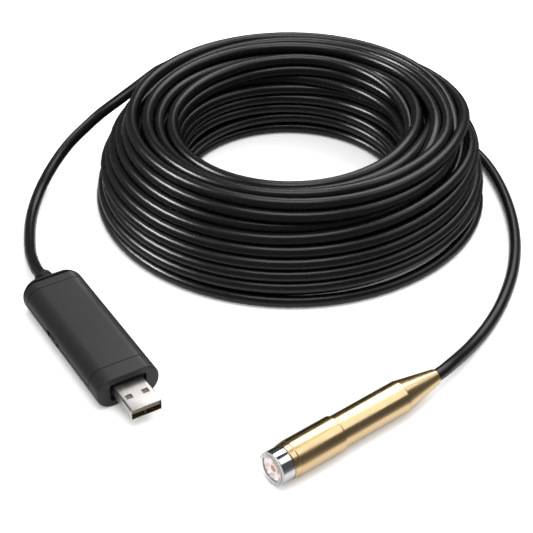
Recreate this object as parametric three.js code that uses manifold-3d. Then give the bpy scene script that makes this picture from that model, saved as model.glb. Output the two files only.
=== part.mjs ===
// USB inspection camera: a turned brass camera head on a long PVC cable, wound into a loose
// coil, with a USB plug housing on its other end. All three lie on one flat surface.
//
// Millimetres. z = 0 is the surface. +X runs along the camera head towards its window, and the
// origin is under the middle of the head.

import * as THREE from 'three';
import { mergeVertices } from 'three/addons/utils/BufferGeometryUtils.js';
import Module from 'manifold-3d';

// ---------------------------------------------------------------- clearances

const seat = 0.1; // between fixed pieces of the head
const running = 0.15; // radial play of a piece that turns or screws
const seam = 0.3; // between pieces of the plug housing that meet face to face

// ---------------------------------------------------------------- driving dimensions

const cable = { diameter: 4.8, leadSides: 10, leadStep: 12 };

const head = {
  window: { thickness: 1.0, plugLength: 1.2 },
  bezel: { diameter: 12.3, length: 4.8, wall: 0.85, neckLength: 3.0 },
  collar: { diameter: 13.4, length: 21.9, wall: 0.8, lipDiameter: 12.9, lipLength: 2.2 },
  washer: { thickness: 0.8, width: 0.45 },
  barrel: { diameter: 12.2, length: 29.8, wall: 1.2, spigotLength: 10 },
  sealRing: { section: 0.5, fromShoulder: 1.2 },
  cone: { length: 17.1, endWall: 0.4, spigotLength: 5, plainBore: 8 },
  bush: { length: 12, wall: 0.9 },
  crimp: { length: 6, wall: 0.6 },
  cableInside: 30,
};

const optics = {
  reflector: { thickness: 2.6, setBack: 0.2, cupBack: 0.95, cupFront: 1.3 },
  leds: { count: 4, circle: 3.6, radius: 0.75, height: 0.7 },
  ledBoard: 0.8,
  tube: { wall: 0.8, length: 22 },
  lens: { radius: 2.0, wall: 0.7, glass: 0.8, glassSetBack: 0.5 },
  holder: { play: 0.3, length: 8, wall: 0.6, cavity: 1.6 },
  sensor: { cornerGap: 0.15, thickness: 0.6 },
  sensorBoard: 0.8,
  ribbon: { width: 4, thickness: 0.5 },
};

const housing = {
  width: 24.5,
  height: 12.6,
  sideFlat: 0.6,
  length: 68,
  wall: 1.5,
  capLength: 7,
  capLip: { wall: 1.0, length: 3 },
  rearWall: 1.6,
  frontWall: 3.6,
  recess: { width: 14.4, height: 7.4, depth: 2.2, corner: 1.0 },
  at: { x: 50.9, y: -63.7, turn: 82.6 },
};

const plug = {
  width: 12.0,
  height: 4.5,
  corner: 0.6,
  wall: 0.3,
  length: 18.75,
  exposed: 14.0,
  window: { long: 2.2, wide: 2.5, fromTip: 7.0, offset: 3.2 },
  tongue: { width: 11.0, thickness: 1.95, setBack: 0.5, clear: 0.15 },
  contact: { width: 1.2, thickness: 0.2, clear: 0.1, pitches: [-3.5, -1.0, 1.0, 3.5] },
  contactFoot: { behindEdge: 1, length: 2 },
};

const board = { edgeGap: 0.4, thickness: 1.2, belowMiddle: 2.1, front: 11.5, length: 42 };
const rail = { width: 1.5, from: 13, to: 52, inset: 0.8 };

const dimmer = {
  radius: 6.4,
  thickness: 1.8,
  stickOut: 0.4,
  back: 38,
  pin: 1.2,
  ribs: 24,
  ribDepth: 0.25,
  slotPlay: 0.4,
  pot: { length: 9, width: 8 },
};

const boot = {
  length: 6,
  lip: 2,
  endWall: 0.55,
  lipWall: 1.05,
  neckWall: 0.45,
  flangeGap: 0.2,
  flangeThickness: 1.5,
};
const wire = {
  radius: 0.4,
  spread: 0.8,
  length: 3,
  landing: 4,
  bend: 0.6,
  fan: { out: 1.6, edge: 2.4, landed: 2.8 },
};

const coil = {
  centre: { x: -78.7, y: -132.1 },
  innerRadius: 46,
  outerRadius: 83.2,
  topInnerRadius: 52,
  topOuterRadius: 68,
  height: 40.9,
  footHeight: 5.5,
  innerWallHeight: 33,
  bulgeAt: 0.55,
};

// The two stretches of cable that aren't wound, from the housing and from the head, each laid
// to meet the coil at a tangent.
const housingLead = [
  [40.6, -143.1, 6.1],
  [38.8, -148.9, 5.3],
  [36.2, -155.6, 4.4],
  [32.8, -162.2, 3.7],
  [24.8, -175.4, 2.8],
  [16.5, -186.0, 3.1],
  [6.9, -194.6, 5.6],
  [-2.8, -199.7, 10.0],
  [-11.9, -201.6, 15.5],
  [-20.0, -201.3, 21.5],
  [-27.6, -200.2, 27.0],
  [-36.2, -199.0, 31.8],
  [-46.6, -199.8, 35.0],
  [-58.4, -202.5, 36.5],
];
const headLead = [
  [-42.3, -0.6, 6.5],
  [-47.0, -1.8, 5.9],
  [-51.4, -3.1, 5.1],
  [-56.2, -4.6, 4.2],
  [-61.4, -6.3, 3.4],
  [-67.2, -8.3, 2.8],
  [-75.0, -11.1, 2.45],
  [-85.4, -15.6, 2.4],
  [-95.4, -21.0, 2.4],
  [-107.0, -28.5, 2.4],
  [-117.6, -37.0, 2.4],
  [-127.5, -46.6, 2.4],
  [-136.5, -57.2, 2.4],
  [-145.2, -69.6, 2.4],
  [-152.1, -81.6, 2.4],
  [-157.1, -92.6, 2.4],
  [-160.2, -102.9, 2.4],
];

// ---------------------------------------------------------------- finishes

const finish = (color, roughness, metalness) =>
  new THREE.MeshStandardMaterial({ color, roughness, metalness });

const brass = finish(0xc9a25c, 0.25, 1);
const chrome = finish(0xd8d9db, 0.08, 1);
const plugSteel = finish(0xc4c3bf, 0.3, 1);
const copper = finish(0xc98a5e, 0.3, 1);
const goldPlate = finish(0xd9b25a, 0.25, 1);
const clearAcrylic = finish(0xeef2f4, 0.05, 0);
const glass = finish(0x26303a, 0.05, 0);
const silvered = finish(0xe6e4e2, 0.15, 1);
const ledWax = finish(0xf3edc8, 0.4, 0);
const cablePvc = finish(0x0c0c0d, 0.3, 0);
const housingPlastic = finish(0x1a1b1c, 0.6, 0);
const blackRubber = finish(0x111112, 0.75, 0);
const tonguePlastic = finish(0x8c7458, 0.6, 0);
const boardGreen = finish(0x1d5a36, 0.5, 0);
const chipBlack = finish(0x161616, 0.5, 0);
const flexAmber = finish(0xa8692a, 0.4, 0);
const canAluminium = finish(0xb9bbbd, 0.35, 1);
const insulation = {
  red: finish(0x9a1c1c, 0.5, 0),
  white: finish(0xd8d8d4, 0.5, 0),
  green: finish(0x1e7a34, 0.5, 0),
  black: finish(0x151515, 0.5, 0),
};

// ---------------------------------------------------------------- shape helpers

const wasm = await Module();
wasm.setup();

const X = new THREE.Vector3(1, 0, 0);
const Y = new THREE.Vector3(0, 1, 0);
const Z = new THREE.Vector3(0, 0, 1);

function solidOf(geometry) {
  const loose = geometry.index ? geometry.toNonIndexed() : geometry;
  const bare = new THREE.BufferGeometry();
  bare.setAttribute('position', loose.getAttribute('position'));
  const merged = mergeVertices(bare, 1e-4);
  const mesh = new wasm.Mesh({
    numProp: 3,
    vertProperties: merged.attributes.position.array,
    triVerts: new Uint32Array(merged.index.array),
  });
  return new wasm.Manifold(mesh);
}

function geometryOf(solid) {
  const mesh = solid.getMesh();
  const geometry = new THREE.BufferGeometry();
  geometry.setAttribute('position', new THREE.BufferAttribute(mesh.vertProperties, 3));
  geometry.setIndex(new THREE.BufferAttribute(mesh.triVerts, 1));
  geometry.computeVertexNormals();
  return geometry;
}

const cut = (geometry, ...tools) =>
  geometryOf(tools.reduce((left, tool) => left.subtract(solidOf(tool)), solidOf(geometry)));
const join = (geometry, ...others) =>
  geometryOf(others.reduce((sum, other) => sum.add(solidOf(other)), solidOf(geometry)));
const keepInside = (geometry, region) => geometryOf(solidOf(geometry).intersect(solidOf(region)));

// A solid turned about the X axis. The outline is a list of [x, radius] that starts and ends on
// the axis, or goes round a ring's section and comes back to its first point.
function turned(outline, segments = 36) {
  const points = outline.map(([x, radius]) => new THREE.Vector2(radius, x));
  const geometry = new THREE.LatheGeometry(points, segments);
  return geometry.rotateZ(-Math.PI / 2);
}

const rod = (x0, x1, radius, segments) =>
  turned([[x0, 0], [x0, radius], [x1, radius], [x1, 0]], segments);
const tube = (x0, x1, inner, outer, segments) =>
  turned([[x0, inner], [x0, outer], [x1, outer], [x1, inner], [x0, inner]], segments);

// A ring of round section on the X axis.
function roundRing(x, radius, section, segments = 32) {
  const sides = 6;
  const outline = [];
  for (let i = 0; i <= sides; i++) {
    const angle = (-i / sides) * 2 * Math.PI;
    outline.push([x + section * Math.cos(angle), radius + section * Math.sin(angle)]);
  }
  return turned(outline, segments);
}

function block(x0, x1, y0, y1, z0, z1) {
  const geometry = new THREE.BoxGeometry(x1 - x0, y1 - y0, z1 - z0);
  return geometry.translate((x0 + x1) / 2, (y0 + y1) / 2, (z0 + z1) / 2);
}

// An upright cylinder.
function upright(radius, x, y, z0, z1, segments = 24) {
  const geometry = new THREE.CylinderGeometry(radius, radius, z1 - z0, segments);
  return geometry.rotateX(Math.PI / 2).translate(x, y, (z0 + z1) / 2);
}

// A rounded rectangle across the housing, centred on its middle height.
function roundedSection(width, height, corner, middle = housing.height / 2) {
  const w = width / 2 - corner;
  const h = height / 2 - corner;
  const shape = new THREE.Shape();
  shape.absarc(w, middle + h, corner, 0, Math.PI / 2);
  shape.absarc(-w, middle + h, corner, Math.PI / 2, Math.PI);
  shape.absarc(-w, middle - h, corner, Math.PI, 1.5 * Math.PI);
  shape.absarc(w, middle - h, corner, 1.5 * Math.PI, 2 * Math.PI);
  shape.closePath();
  return shape;
}

// A section across the housing, drawn in y and z, made solid from x0 to x1.
function prism(shape, x0, x1, curveSegments = 4) {
  const options = { depth: x1 - x0, bevelEnabled: false, curveSegments };
  const geometry = new THREE.ExtrudeGeometry(shape, options);
  geometry.applyMatrix4(new THREE.Matrix4().makeBasis(Y, Z, X));
  return geometry.translate(x0, 0, 0);
}

// A round cable or wire along a smooth curve through the points.
function strand(points, radius, sides, steps) {
  const path = new THREE.CatmullRomCurve3(points.map((p) => new THREE.Vector3(...p)));
  const section = new THREE.Shape();
  for (let i = 0; i < sides; i++) {
    const angle = (i / sides) * 2 * Math.PI;
    const x = radius * Math.cos(angle);
    const y = radius * Math.sin(angle);
    if (i === 0) section.moveTo(x, y);
    else section.lineTo(x, y);
  }
  section.closePath();
  const count = steps ?? Math.ceil(path.getLength() / cable.leadStep);
  return new THREE.ExtrudeGeometry(section, { steps: count, extrudePath: path });
}

const camera = new THREE.Group();

function piece(group, name, geometry, material) {
  const mesh = new THREE.Mesh(geometry, material);
  mesh.name = name;
  group.add(mesh);
  return mesh;
}

// ---------------------------------------------------------------- the head's stations along X

const cableRadius = cable.diameter / 2;
const cableBore = cableRadius + 2 * seat;
const collarBore = head.collar.diameter / 2 - head.collar.wall;
const barrelRadius = head.barrel.diameter / 2;
const barrelBore = barrelRadius - head.barrel.wall;
const spigotRadius = collarBore - running;
const bezelBore = head.bezel.diameter / 2 - head.bezel.wall;
const coneEndRadius = cableBore + head.cone.endWall;

const headLength =
  head.window.thickness + head.bezel.length + head.collar.length +
  head.barrel.length + head.cone.length + 4 * seat;
const windowFront = headLength / 2;
const bezelFront = windowFront - head.window.thickness - seat;
const bezelBack = bezelFront - head.bezel.length;
const collarFront = bezelBack - seat;
const collarBack = collarFront - head.collar.length;
const shoulder = collarBack - seat;
const barrelBack = shoulder - head.barrel.length;
const coneFront = barrelBack - seat;
const coneBack = coneFront - head.cone.length;

// The head rests on its collar, its widest piece.
const headGroup = new THREE.Group();
headGroup.position.z = Math.max(head.collar.diameter, head.barrel.diameter) / 2;
camera.add(headGroup);

// ---------------------------------------------------------------- front sleeve of the head

const windowPlugRadius = bezelBore - seat;
const windowPlugBack = bezelFront - head.window.plugLength;
piece(headGroup, 'lens_window', turned([
  [windowPlugBack, 0],
  [windowPlugBack, windowPlugRadius],
  [bezelFront + seat, windowPlugRadius],
  [bezelFront + seat, head.bezel.diameter / 2],
  [windowFront, head.bezel.diameter / 2],
  [windowFront, 0],
]), clearAcrylic);

const bezelNeckRadius = collarBore - seat;
const bezelNeckBack = bezelBack - head.bezel.neckLength;
piece(headGroup, 'bezel_ring', turned([
  [bezelNeckBack, bezelBore],
  [bezelNeckBack, bezelNeckRadius],
  [bezelBack, bezelNeckRadius],
  [bezelBack, head.bezel.diameter / 2],
  [bezelFront, head.bezel.diameter / 2],
  [bezelFront, bezelBore],
  [bezelNeckBack, bezelBore],
]), chrome);

const collarLipBack = collarFront - head.collar.lipLength;
piece(headGroup, 'front_collar', turned([
  [collarBack, collarBore],
  [collarBack, head.collar.diameter / 2],
  [collarLipBack, head.collar.diameter / 2],
  [collarLipBack, head.collar.lipDiameter / 2],
  [collarFront, head.collar.lipDiameter / 2],
  [collarFront, collarBore],
  [collarBack, collarBore],
]), brass);

const washerFront = bezelNeckBack - seat;
const washerRadius = collarBore - seat;
piece(
  headGroup,
  'sealing_washer',
  tube(washerFront - head.washer.thickness, washerFront, washerRadius - head.washer.width, washerRadius),
  blackRubber,
);

// ---------------------------------------------------------------- barrel, tail cone and seals

const sealSection = head.sealRing.section / 2;
const grooveBack = shoulder + head.sealRing.fromShoulder;
const grooveFront = grooveBack + 2 * sealSection + 4 * seat;
const sealRadius = collarBore - seat - sealSection;
const grooveRadius = sealRadius - sealSection - seat / 2;
const spigotFront = shoulder + head.barrel.spigotLength;
piece(headGroup, 'head_barrel', turned([
  [barrelBack, barrelBore],
  [barrelBack, barrelRadius],
  [shoulder, barrelRadius],
  [shoulder, spigotRadius],
  [grooveBack, spigotRadius],
  [grooveBack, grooveRadius],
  [grooveFront, grooveRadius],
  [grooveFront, spigotRadius],
  [spigotFront, spigotRadius],
  [spigotFront, barrelBore],
  [barrelBack, barrelBore],
]), brass);
piece(
  headGroup,
  'barrel_seal',
  roundRing((grooveBack + grooveFront) / 2, sealRadius, sealSection),
  blackRubber,
);

const coneSpigotFront = coneFront + head.cone.spigotLength;
const bushBoreBack = coneBack + head.cone.plainBore;
const bushRadius = cableRadius + seat + head.bush.wall;
const bushBore = bushRadius + seat;
piece(headGroup, 'tail_cone', turned([
  [coneBack, cableBore],
  [coneBack, coneEndRadius],
  [coneFront, barrelRadius],
  [coneFront, barrelBore - seat],
  [coneSpigotFront, barrelBore - seat],
  [coneSpigotFront, bushBore],
  [bushBoreBack, bushBore],
  [bushBoreBack, cableBore],
  [coneBack, cableBore],
]), brass);

const bushBack = bushBoreBack + seat;
piece(
  headGroup,
  'cable_bush',
  tube(bushBack, bushBack + head.bush.length, cableRadius + seat, bushRadius, 24),
  blackRubber,
);

const cableEndFront = coneBack + head.cableInside;
const crimpBore = cableRadius + seat;
piece(headGroup, 'cable_end_head', rod(coneBack, cableEndFront, cableRadius, 24), cablePvc);
piece(
  headGroup,
  'crimp_sleeve',
  tube(cableEndFront - head.crimp.length, cableEndFront, crimpBore, crimpBore + head.crimp.wall, 24),
  canAluminium,
);

// ---------------------------------------------------------------- camera module in the head

const reflectorFront = windowPlugBack - optics.reflector.setBack;
const reflectorBack = reflectorFront - optics.reflector.thickness;
const reflectorRadius = bezelBore - running;
const lensHole = optics.lens.radius + seat;

function ledPlace(index) {
  const angle = ((index + 0.5) / optics.leds.count) * 2 * Math.PI;
  return { y: optics.leds.circle * Math.cos(angle), z: optics.leds.circle * Math.sin(angle) };
}

const cups = [];
for (let i = 0; i < optics.leds.count; i++) {
  const { y, z } = ledPlace(i);
  const cup = turned([
    [reflectorBack - 1, 0],
    [reflectorBack - 1, optics.reflector.cupBack],
    [reflectorBack, optics.reflector.cupBack],
    [reflectorFront, optics.reflector.cupFront],
    [reflectorFront + 1, optics.reflector.cupFront],
    [reflectorFront + 1, 0],
  ], 16);
  cups.push(cup.translate(0, y, z));
}
piece(
  headGroup,
  'reflector_cup',
  cut(tube(reflectorBack, reflectorFront, lensHole, reflectorRadius), ...cups),
  silvered,
);

const ledBoardFront = reflectorBack - seat;
const ledBoardBack = ledBoardFront - optics.ledBoard;
piece(headGroup, 'led_board', tube(ledBoardBack, ledBoardFront, lensHole, reflectorRadius, 32), boardGreen);
for (let i = 0; i < optics.leds.count; i++) {
  const { y, z } = ledPlace(i);
  const led = rod(ledBoardFront + seat, ledBoardFront + seat + optics.leds.height, optics.leds.radius, 16);
  piece(headGroup, `led_${i + 1}`, led.translate(0, y, z), ledWax);
}

const tubeFront = ledBoardBack - seat;
const tubeBack = tubeFront - optics.tube.length;
const tubeRadius = barrelBore - seat;
const tubeBore = tubeRadius - optics.tube.wall;
piece(headGroup, 'module_tube', tube(tubeBack, tubeFront, tubeBore, tubeRadius, 32), chipBlack);

const holderFront = tubeFront - seat;
const holderBack = holderFront - optics.holder.length;
const cavityFront = holderBack + optics.holder.cavity;
const lensBack = cavityFront + seat;
const lensBore = optics.lens.radius - optics.lens.wall;
const glassFront = reflectorFront - optics.lens.glassSetBack;
piece(headGroup, 'lens_barrel', tube(lensBack, reflectorFront, lensBore, optics.lens.radius, 24), copper);
piece(
  headGroup,
  'lens_element',
  rod(glassFront - optics.lens.glass, glassFront, lensBore - seat, 20),
  glass,
);

const holderRadius = tubeBore - optics.holder.play;
const cavityRadius = holderRadius - optics.holder.wall;
piece(headGroup, 'lens_holder', turned([
  [holderBack, cavityRadius],
  [holderBack, holderRadius],
  [holderFront, holderRadius],
  [holderFront, lensHole],
  [cavityFront, lensHole],
  [cavityFront, cavityRadius],
  [holderBack, cavityRadius],
], 32), chipBlack);

const sensorBoardFront = holderBack - seat;
const sensorBoardBack = sensorBoardFront - optics.sensorBoard;
const sensorHalf = (cavityRadius - optics.sensor.cornerGap) / Math.SQRT2;
piece(
  headGroup,
  'image_sensor',
  block(
    sensorBoardFront + seat, sensorBoardFront + seat + optics.sensor.thickness,
    -sensorHalf, sensorHalf, -sensorHalf, sensorHalf,
  ),
  glass,
);
piece(headGroup, 'sensor_board', rod(sensorBoardBack, sensorBoardFront, tubeBore - seat, 32), boardGreen);

const ribbonHalf = optics.ribbon.width / 2;
const ribbonThin = optics.ribbon.thickness / 2;
piece(
  headGroup,
  'head_ribbon',
  block(cableEndFront + seat, sensorBoardBack - seat, -ribbonHalf, ribbonHalf, -ribbonThin, ribbonThin),
  flexAmber,
);

// ---------------------------------------------------------------- cable and coil

const headExit = [coneBack - seam, 0, headGroup.position.z];
piece(
  camera,
  'cable_lead_head',
  strand([headExit, ...headLead], cableRadius, cable.leadSides),
  cablePvc,
);

// The coil's outer shape: an upright inner wall, a foot that its lowest turns lie in, and an
// outer side that leans in towards the top.
const coilSection = new THREE.Shape();
coilSection.moveTo(coil.innerRadius, 0);
coilSection.lineTo(coil.outerRadius, 0);
coilSection.lineTo(coil.outerRadius, coil.footHeight);
coilSection.quadraticCurveTo(
  coil.outerRadius - coil.footHeight, coil.height * coil.bulgeAt, coil.topOuterRadius, coil.height,
);
coilSection.lineTo(coil.topInnerRadius, coil.height);
coilSection.quadraticCurveTo(
  coil.innerRadius, coil.height, coil.innerRadius, coil.innerWallHeight,
);
coilSection.lineTo(coil.innerRadius, 0);
const coilRing = new THREE.LatheGeometry(coilSection.getPoints(4), 48);
coilRing.rotateX(Math.PI / 2).translate(coil.centre.x, coil.centre.y, 0);
piece(camera, 'cable_coil', coilRing, cablePvc);

// ---------------------------------------------------------------- USB plug housing
// Its own frame: x = 0 is the face that the plug stands out of, +X out of the plug, and its
// underside lies on the surface.

const housingGroup = new THREE.Group();
housingGroup.position.set(housing.at.x, housing.at.y, 0);
housingGroup.rotation.z = THREE.MathUtils.degToRad(housing.at.turn);
camera.add(housingGroup);

const middle = housing.height / 2;
const corner = middle - housing.sideFlat / 2;
const outer = (inset = 0) =>
  roundedSection(housing.width - 2 * inset, housing.height - 2 * inset, corner - inset);
const shellFront = -housing.capLength - seam;
const shellBack = -housing.length + housing.capLength + seam;

const hollow = outer();
hollow.holes.push(outer(housing.wall));
const slotHalfLength =
  Math.sqrt(dimmer.radius ** 2 - (dimmer.radius - dimmer.stickOut - housing.wall) ** 2) +
  dimmer.slotPlay;
const slotHalfHeight = dimmer.thickness / 2 + dimmer.slotPlay;
const slot = block(
  -dimmer.back - slotHalfLength, -dimmer.back + slotHalfLength,
  -housing.width, -housing.width / 2 + housing.wall + seam,
  middle - slotHalfHeight, middle + slotHalfHeight,
);

function shellHalf(z0, z1) {
  const shell = prism(hollow, shellBack, shellFront);
  const half = block(shellBack - 1, shellFront + 1, -housing.width, housing.width, z0, z1);
  return cut(keepInside(shell, half), slot);
}

// The board's edges stop short of the rounded inner wall.
const boardTop = middle - board.belowMiddle;
const boardBottom = boardTop - board.thickness;
const innerCorner = corner - housing.wall;
const cornerDrop = Math.max(corner - boardBottom, 0);
const boardHalf =
  housing.width / 2 - corner + Math.sqrt(innerCorner ** 2 - cornerDrop ** 2) - board.edgeGap;

const railTop = boardBottom - seam / 3;
const rails = [-1, 1].map((side) => {
  const outerEdge = side * (boardHalf - rail.inset);
  const innerEdge = outerEdge - side * rail.width;
  return block(
    -rail.to, -rail.from,
    Math.min(innerEdge, outerEdge), Math.max(innerEdge, outerEdge),
    housing.wall / 2, railTop,
  );
});
piece(
  housingGroup,
  'housing_shell_upper',
  shellHalf(middle + seam / 2, housing.height + 1),
  housingPlastic,
);
piece(
  housingGroup,
  'housing_shell_lower',
  join(shellHalf(-1, middle - seam / 2), ...rails),
  housingPlastic,
);

// Each end cap closes the shells with a wall, and a lip on it plugs into their ends.
const lipInset = housing.wall + seam;
const lipBore = lipInset + housing.capLip.wall;

function ring(outerInset, innerInset, x0, x1) {
  const shape = outer(outerInset);
  shape.holes.push(outer(innerInset));
  return prism(shape, x0, x1);
}

const frontFace = prism(outer(), -housing.frontWall, 0);
const frontWeb = ring(0, lipBore, -housing.capLength, -housing.frontWall + seam);
const frontLip = ring(
  lipInset, lipBore, shellFront - housing.capLip.length, -housing.capLength + seam,
);
const recess = roundedSection(housing.recess.width, housing.recess.height, housing.recess.corner);
const plugHole = roundedSection(plug.width + 2 * seam, plug.height + 2 * seam, plug.corner + seam);
piece(
  housingGroup,
  'front_end_cap',
  cut(
    join(frontFace, frontWeb, frontLip),
    prism(recess, -housing.recess.depth, 1, 3),
    prism(plugHole, -housing.frontWall - 1, 1, 3),
  ),
  housingPlastic,
);

const rearSeam = -housing.length + housing.capLength;
const rearWallFront = -housing.length + housing.rearWall;
const rearWebBack = rearSeam - housing.wall;
const rearFace = prism(outer(), -housing.length, rearWallFront);
const rearRing = ring(0, housing.wall, rearWallFront - seam, rearSeam - seam);
const rearWeb = ring(0, lipBore, rearWebBack, rearSeam);
const rearLip = ring(lipInset, lipBore, rearSeam - seam, shellBack + housing.capLip.length);
const bootBore = cableRadius + running;
const bootNeck = bootBore + boot.neckWall;
const bootHole = rod(-housing.length - 1, rearWallFront + 1, bootNeck + seam, 24);
piece(
  housingGroup,
  'rear_end_cap',
  cut(join(rearFace, rearRing, rearWeb, rearLip), bootHole.translate(0, 0, middle)),
  housingPlastic,
);

// ---------------------------------------------------------------- cable entry of the housing

const bootEnd = -housing.length - boot.length;
const bootLip = bootBore + boot.lipWall;
const bootFlange = middle - housing.wall - boot.flangeGap;
const flangeBack = rearWallFront + seam;
const flangeFront = flangeBack + boot.flangeThickness;
const strainRelief = turned([
  [bootEnd, bootBore],
  [bootEnd, bootBore + boot.endWall],
  [-housing.length - boot.lip, bootLip],
  [-housing.length - seam, bootLip],
  [-housing.length - seam, bootNeck],
  [flangeBack, bootNeck],
  [flangeBack, bootFlange],
  [flangeFront, bootFlange],
  [flangeFront, bootBore],
  [bootEnd, bootBore],
], 28);
piece(housingGroup, 'strain_relief', strainRelief.translate(0, 0, middle), blackRubber);

const boardFront = -board.front;
const boardBack = boardFront - board.length;
const cableEndBack = boardBack - wire.length;
piece(
  housingGroup,
  'cable_end_housing',
  rod(bootEnd, cableEndBack, cableRadius, 24).translate(0, 0, middle),
  cablePvc,
);

// Four insulated wires fan out from the cable's end and land on the board.
const wireNames = ['red', 'white', 'green', 'black'];
wireNames.forEach((colour, i) => {
  const side = i - (wireNames.length - 1) / 2;
  const up = i % 2 ? wire.spread : -wire.spread;
  const landingZ = boardTop + wire.radius + seam;
  const points = [
    [cableEndBack + seam, side * wire.spread, middle + up],
    [cableEndBack + wire.length - 1, side * wire.spread * wire.fan.out, middle + up * wire.bend],
    [boardBack + 1, side * wire.spread * wire.fan.edge, landingZ + wire.bend],
    [boardBack + wire.landing, side * wire.spread * wire.fan.landed, landingZ],
  ];
  piece(housingGroup, `wire_${colour}`, strand(points, wire.radius, 6, 6), insulation[colour]);
});

// ---------------------------------------------------------------- board, chips and dimmer

piece(
  housingGroup,
  'circuit_board',
  block(boardBack, boardFront, -boardHalf, boardHalf, boardBottom, boardTop),
  boardGreen,
);

// Each part on the board: how far behind the plug's face, to which side, and its size.
const partsOnBoard = {
  capture_chip: { back: 24, side: 2.5, size: [7, 7, 1.2], material: chipBlack },
  memory_chip: { back: 34, side: 5.6, size: [5, 4, 1.0], material: chipBlack },
  crystal_can: { back: 17, side: -4.5, size: [2.2, 5, 2.6], material: canAluminium },
};
for (const [name, { back, side, size, material }] of Object.entries(partsOnBoard)) {
  const [long, wide, tall] = size;
  const z0 = boardTop + seam;
  const geometry = block(
    -back - long / 2, -back + long / 2, side - wide / 2, side + wide / 2, z0, z0 + tall,
  );
  piece(housingGroup, name, geometry, material);
}
const capacitor = { radius: 1.9, height: 4.2, back: 46.5, side: [2.6, 6.7] };
capacitor.side.forEach((side, i) => {
  const z0 = boardTop + seam;
  const can = upright(capacitor.radius, -capacitor.back, side, z0, z0 + capacitor.height, 20);
  piece(housingGroup, `capacitor_${i + 1}`, can, canAluminium);
});

// The brightness wheel lies flat on its potentiometer and shows its rim in the side slot.
const wheelX = -dimmer.back;
const wheelY = -(housing.width / 2 + dimmer.stickOut - dimmer.radius);
const wheelBottom = middle - dimmer.thickness / 2;
const wheelTop = middle + dimmer.thickness / 2;
const potBottom = boardTop + seam / 3;
const potTop = wheelBottom - seam;
const potBody = block(
  wheelX - dimmer.pot.length / 2, wheelX + dimmer.pot.length / 2,
  wheelY - dimmer.pot.width / 2, wheelY + dimmer.pot.width / 2,
  potBottom, potTop,
);
const potPin = upright(dimmer.pin, wheelX, wheelY, (potBottom + potTop) / 2, wheelTop + seam);
piece(housingGroup, 'dimmer_pot', join(potBody, potPin), chipBlack);

const rim = new THREE.Shape();
for (let i = 0; i < 2 * dimmer.ribs; i++) {
  const radius = i % 2 ? dimmer.radius : dimmer.radius - dimmer.ribDepth;
  const angle = (i / dimmer.ribs) * Math.PI;
  const x = radius * Math.cos(angle);
  const y = radius * Math.sin(angle);
  if (i === 0) rim.moveTo(x, y);
  else rim.lineTo(x, y);
}
rim.closePath();
const wheelBore = new THREE.Path();
wheelBore.absarc(0, 0, dimmer.pin + running, 0, 2 * Math.PI, true);
rim.holes.push(wheelBore);
const wheelOptions = { depth: dimmer.thickness, bevelEnabled: false, curveSegments: 12 };
const wheel = new THREE.ExtrudeGeometry(rim, wheelOptions);
piece(housingGroup, 'dimmer_wheel', wheel.translate(wheelX, wheelY, wheelBottom), housingPlastic);

// ---------------------------------------------------------------- USB plug

const tip = plug.exposed;
const plugShape = roundedSection(plug.width, plug.height, plug.corner);
plugShape.holes.push(
  roundedSection(plug.width - 2 * plug.wall, plug.height - 2 * plug.wall, plug.corner - plug.wall),
);
const plugWindows = [-1, 1].map((side) =>
  block(
    tip - plug.window.fromTip - plug.window.long / 2,
    tip - plug.window.fromTip + plug.window.long / 2,
    side * plug.window.offset - plug.window.wide / 2,
    side * plug.window.offset + plug.window.wide / 2,
    middle - plug.height,
    middle + plug.height,
  ),
);
piece(
  housingGroup,
  'usb_shell',
  cut(prism(plugShape, tip - plug.length, tip, 3), ...plugWindows),
  plugSteel,
);

const tongueTop = middle + plug.height / 2 - plug.wall - plug.tongue.clear;
const tongueBottom = tongueTop - plug.tongue.thickness;
const tongueBack = shellFront;
piece(
  housingGroup,
  'usb_tongue',
  block(
    tongueBack, tip - plug.tongue.setBack,
    -plug.tongue.width / 2, plug.tongue.width / 2,
    tongueBottom, tongueTop,
  ),
  tonguePlastic,
);

// A contact lies under the tongue, drops behind it, and ends in a foot on the board.
const contactTop = tongueBottom - plug.contact.clear;
const contactBottom = contactTop - plug.contact.thickness;
const footBottom = boardTop + plug.contact.clear;
const footTop = footBottom + plug.contact.thickness;
const drop = boardFront - plug.contactFoot.behindEdge;
const foot = drop - plug.contactFoot.length;
plug.contact.pitches.forEach((side, i) => {
  const strip = new THREE.Shape();
  strip.moveTo(tip - 2 * plug.tongue.setBack, contactTop);
  strip.lineTo(drop - plug.contact.thickness, contactTop);
  strip.lineTo(drop - plug.contact.thickness, footTop);
  strip.lineTo(foot, footTop);
  strip.lineTo(foot, footBottom);
  strip.lineTo(drop, footBottom);
  strip.lineTo(drop, contactBottom);
  strip.lineTo(tip - 2 * plug.tongue.setBack, contactBottom);
  strip.closePath();
  const contact = new THREE.ExtrudeGeometry(strip, { depth: plug.contact.width, bevelEnabled: false });
  contact.rotateX(Math.PI / 2).translate(0, side + plug.contact.width / 2, 0);
  piece(housingGroup, `usb_contact_${i + 1}`, contact, goldPlate);
});

// ---------------------------------------------------------------- lead from the housing

const bootMouth = new THREE.Vector3(bootEnd - seam, 0, middle);
bootMouth.applyAxisAngle(Z, housingGroup.rotation.z).add(housingGroup.position);
piece(
  camera,
  'cable_lead_housing',
  strand([bootMouth.toArray(), ...housingLead], cableRadius, cable.leadSides),
  cablePvc,
);

export default camera;
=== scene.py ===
"""USB inspection camera: a brass camera head on a long coiled cable with a plug housing."""

from math import cos, pi, radians, sin, tau

import bmesh
import bpy
import numpy as np
from mathutils import Matrix, Vector


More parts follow.
